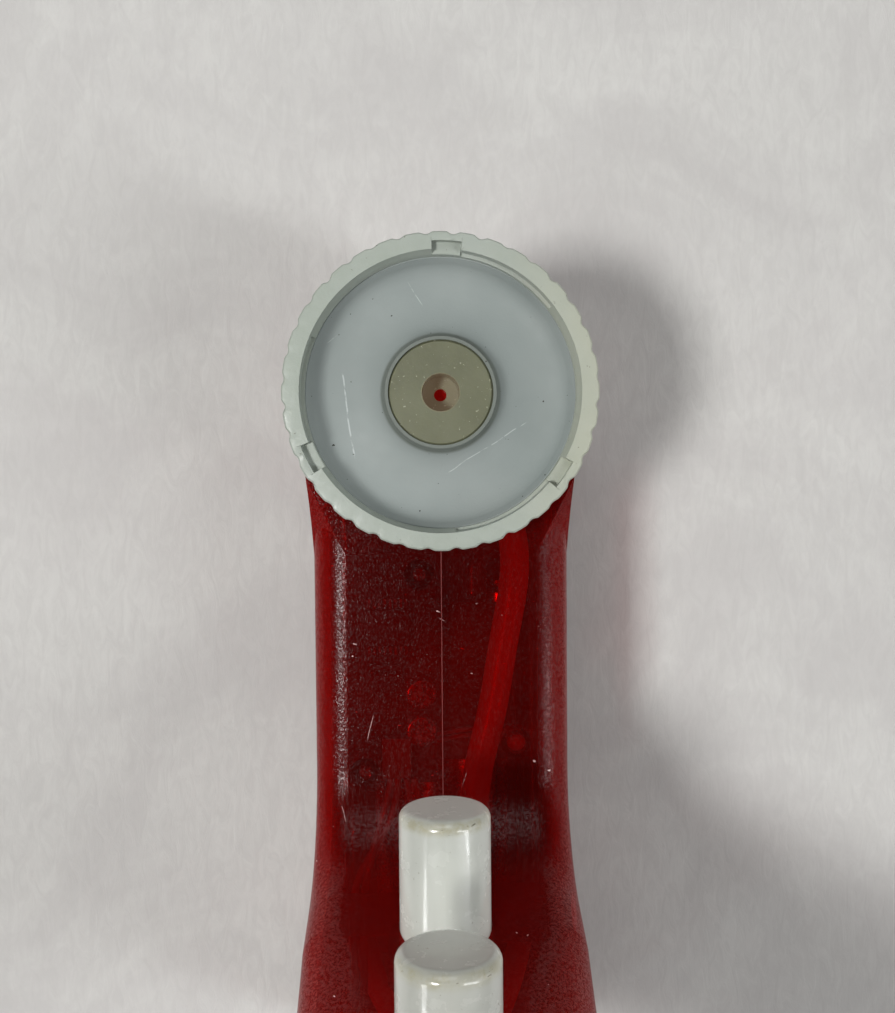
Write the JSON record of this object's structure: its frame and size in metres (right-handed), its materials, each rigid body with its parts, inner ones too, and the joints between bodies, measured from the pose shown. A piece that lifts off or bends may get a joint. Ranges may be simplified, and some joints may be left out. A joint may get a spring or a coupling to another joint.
{
  "type": "pistol-grip pipette filler",
  "caption": "Battery pistol-grip pipette filler with a knurled nosepiece ring, silicone pipette seal, press buttons and inner pump, valves and hoses.",
  "frame": {"origin": "centre of the pipette socket's mouth, on the nosepiece axis", "axes": "+Z is the way a pipette leaves the nosepiece; the filler stands on the flat top of its head. The head runs back from the nose along +Y and the handle rises at the back. +X is across the seam."},
  "size_m": [0.046, 0.1721, 0.1692],
  "materials": {
    "shell": "translucent deep red, fine matt grain",
    "collar": "translucent red",
    "ring_plastic": "pale grey-green moulded",
    "dish_plastic": "blue-grey moulded",
    "silicone": "olive-ivory silicone",
    "button_plastic": "glossy white",
    "white_plastic": "satin",
    "black_plastic": "satin",
    "hose": "clear-tinted soft hose",
    "rubber": "matt",
    "membrane": "matt",
    "valve_metal": "machined",
    "aluminium": "drawn",
    "steel": "bright",
    "iron": "dark",
    "brass": "bright",
    "board": "glass-fibre laminate",
    "amber": "clear amber",
    "wire": "insulated",
    "cell_wrap": "shrink wrap over steel"
  },
  "bodies": {
    "body": {"left_shell": "shell", "right_shell": "shell", "shell_screws": "steel", "nose_collar": "collar", "filter_membrane": "membrane", "filter_retainer": "collar", "nose_tube": "hose", "vacuum_hose": "hose", "pressure_hose": "hose", "valve_block": "valve_metal", "hose_barbs": "brass", "pump_head": "black_plastic", "pump_diaphragm": "rubber", "crank_case": "black_plastic", "wobble_plate": "white_plastic", "motor_magnets": "iron", "motor_can": "steel", "motor_end_cap": "black_plastic", "motor_terminals": "brass", "pump_screws": "steel", "circuit_board": "board", "board_screws": "steel", "control_chip": "black_plastic", "chip_pins": "steel", "capacitors": "aluminium", "pin_header": "black_plastic", "wire_socket": "white_plastic", "lamp_lens": "amber", "wires": "wire", "cells": "cell_wrap", "cell_holder": "black_plastic", "cell_contacts": "steel", "end_cap": "shell", "end_cap_screws": "steel", "charge_jack": "black_plastic", "dial_sensor": "black_plastic", "aspirate_spring": "steel", "aspirate_switch": "black_plastic", "dispense_spring": "steel", "dispense_switch": "black_plastic"},
    "ring": {"knurled_ring": "ring_plastic"},
    "nosepiece": {"nose_dish": "dish_plastic", "pipette_seal": "silicone", "nose_o_ring": "rubber"},
    "rotor": {"crank": "brass", "motor_shaft": "steel", "motor_armature": "iron"},
    "dial": {"speed_dial": "black_plastic", "dial_shaft": "steel"},
    "aspirate": {"aspirate_button": "button_plastic", "aspirate_stem": "steel", "aspirate_o_rings": "rubber"},
    "dispense": {"dispense_button": "button_plastic", "dispense_stem": "steel", "dispense_o_rings": "rubber"}
  },
  "joints": [
    {"name": "nose_lift", "type": "slide", "parent": "body", "child": "nosepiece", "axis": [0, 0, 1], "range_m": [0, 0.0075]},
    {"name": "ring_unscrew", "type": "hinge", "parent": "nosepiece", "child": "ring", "pos_m": [0, 0, 0], "axis": [0, 0, 1], "range_deg": [0, 900]},
    {"name": "aspirate_press", "type": "slide", "parent": "body", "child": "aspirate", "axis": [0, 1, 0], "range_m": [0, 0.005], "stiffness_N_per_m": 400, "springref_m": -0.001, "deforming": ["aspirate_spring"]},
    {"name": "dispense_press", "type": "slide", "parent": "body", "child": "dispense", "axis": [0, 1, 0], "range_m": [0, 0.005], "stiffness_N_per_m": 400, "springref_m": -0.001, "deforming": ["dispense_spring"]},
    {"name": "motor_spin", "type": "hinge", "parent": "body", "child": "rotor", "pos_m": [0, 0.06, -0.0395], "axis": [0, 1, 0], "continuous": true},
    {"name": "speed_dial_turn", "type": "hinge", "parent": "body", "child": "dial", "pos_m": [0, 0.117, -0.038], "axis": [1, 0, 0], "range_deg": [-135, 135]}
  ],
  "couplings": [
    {"joint": "ring_unscrew", "follows": "nose_lift", "rad_per_m": 2094.4}
  ]
}
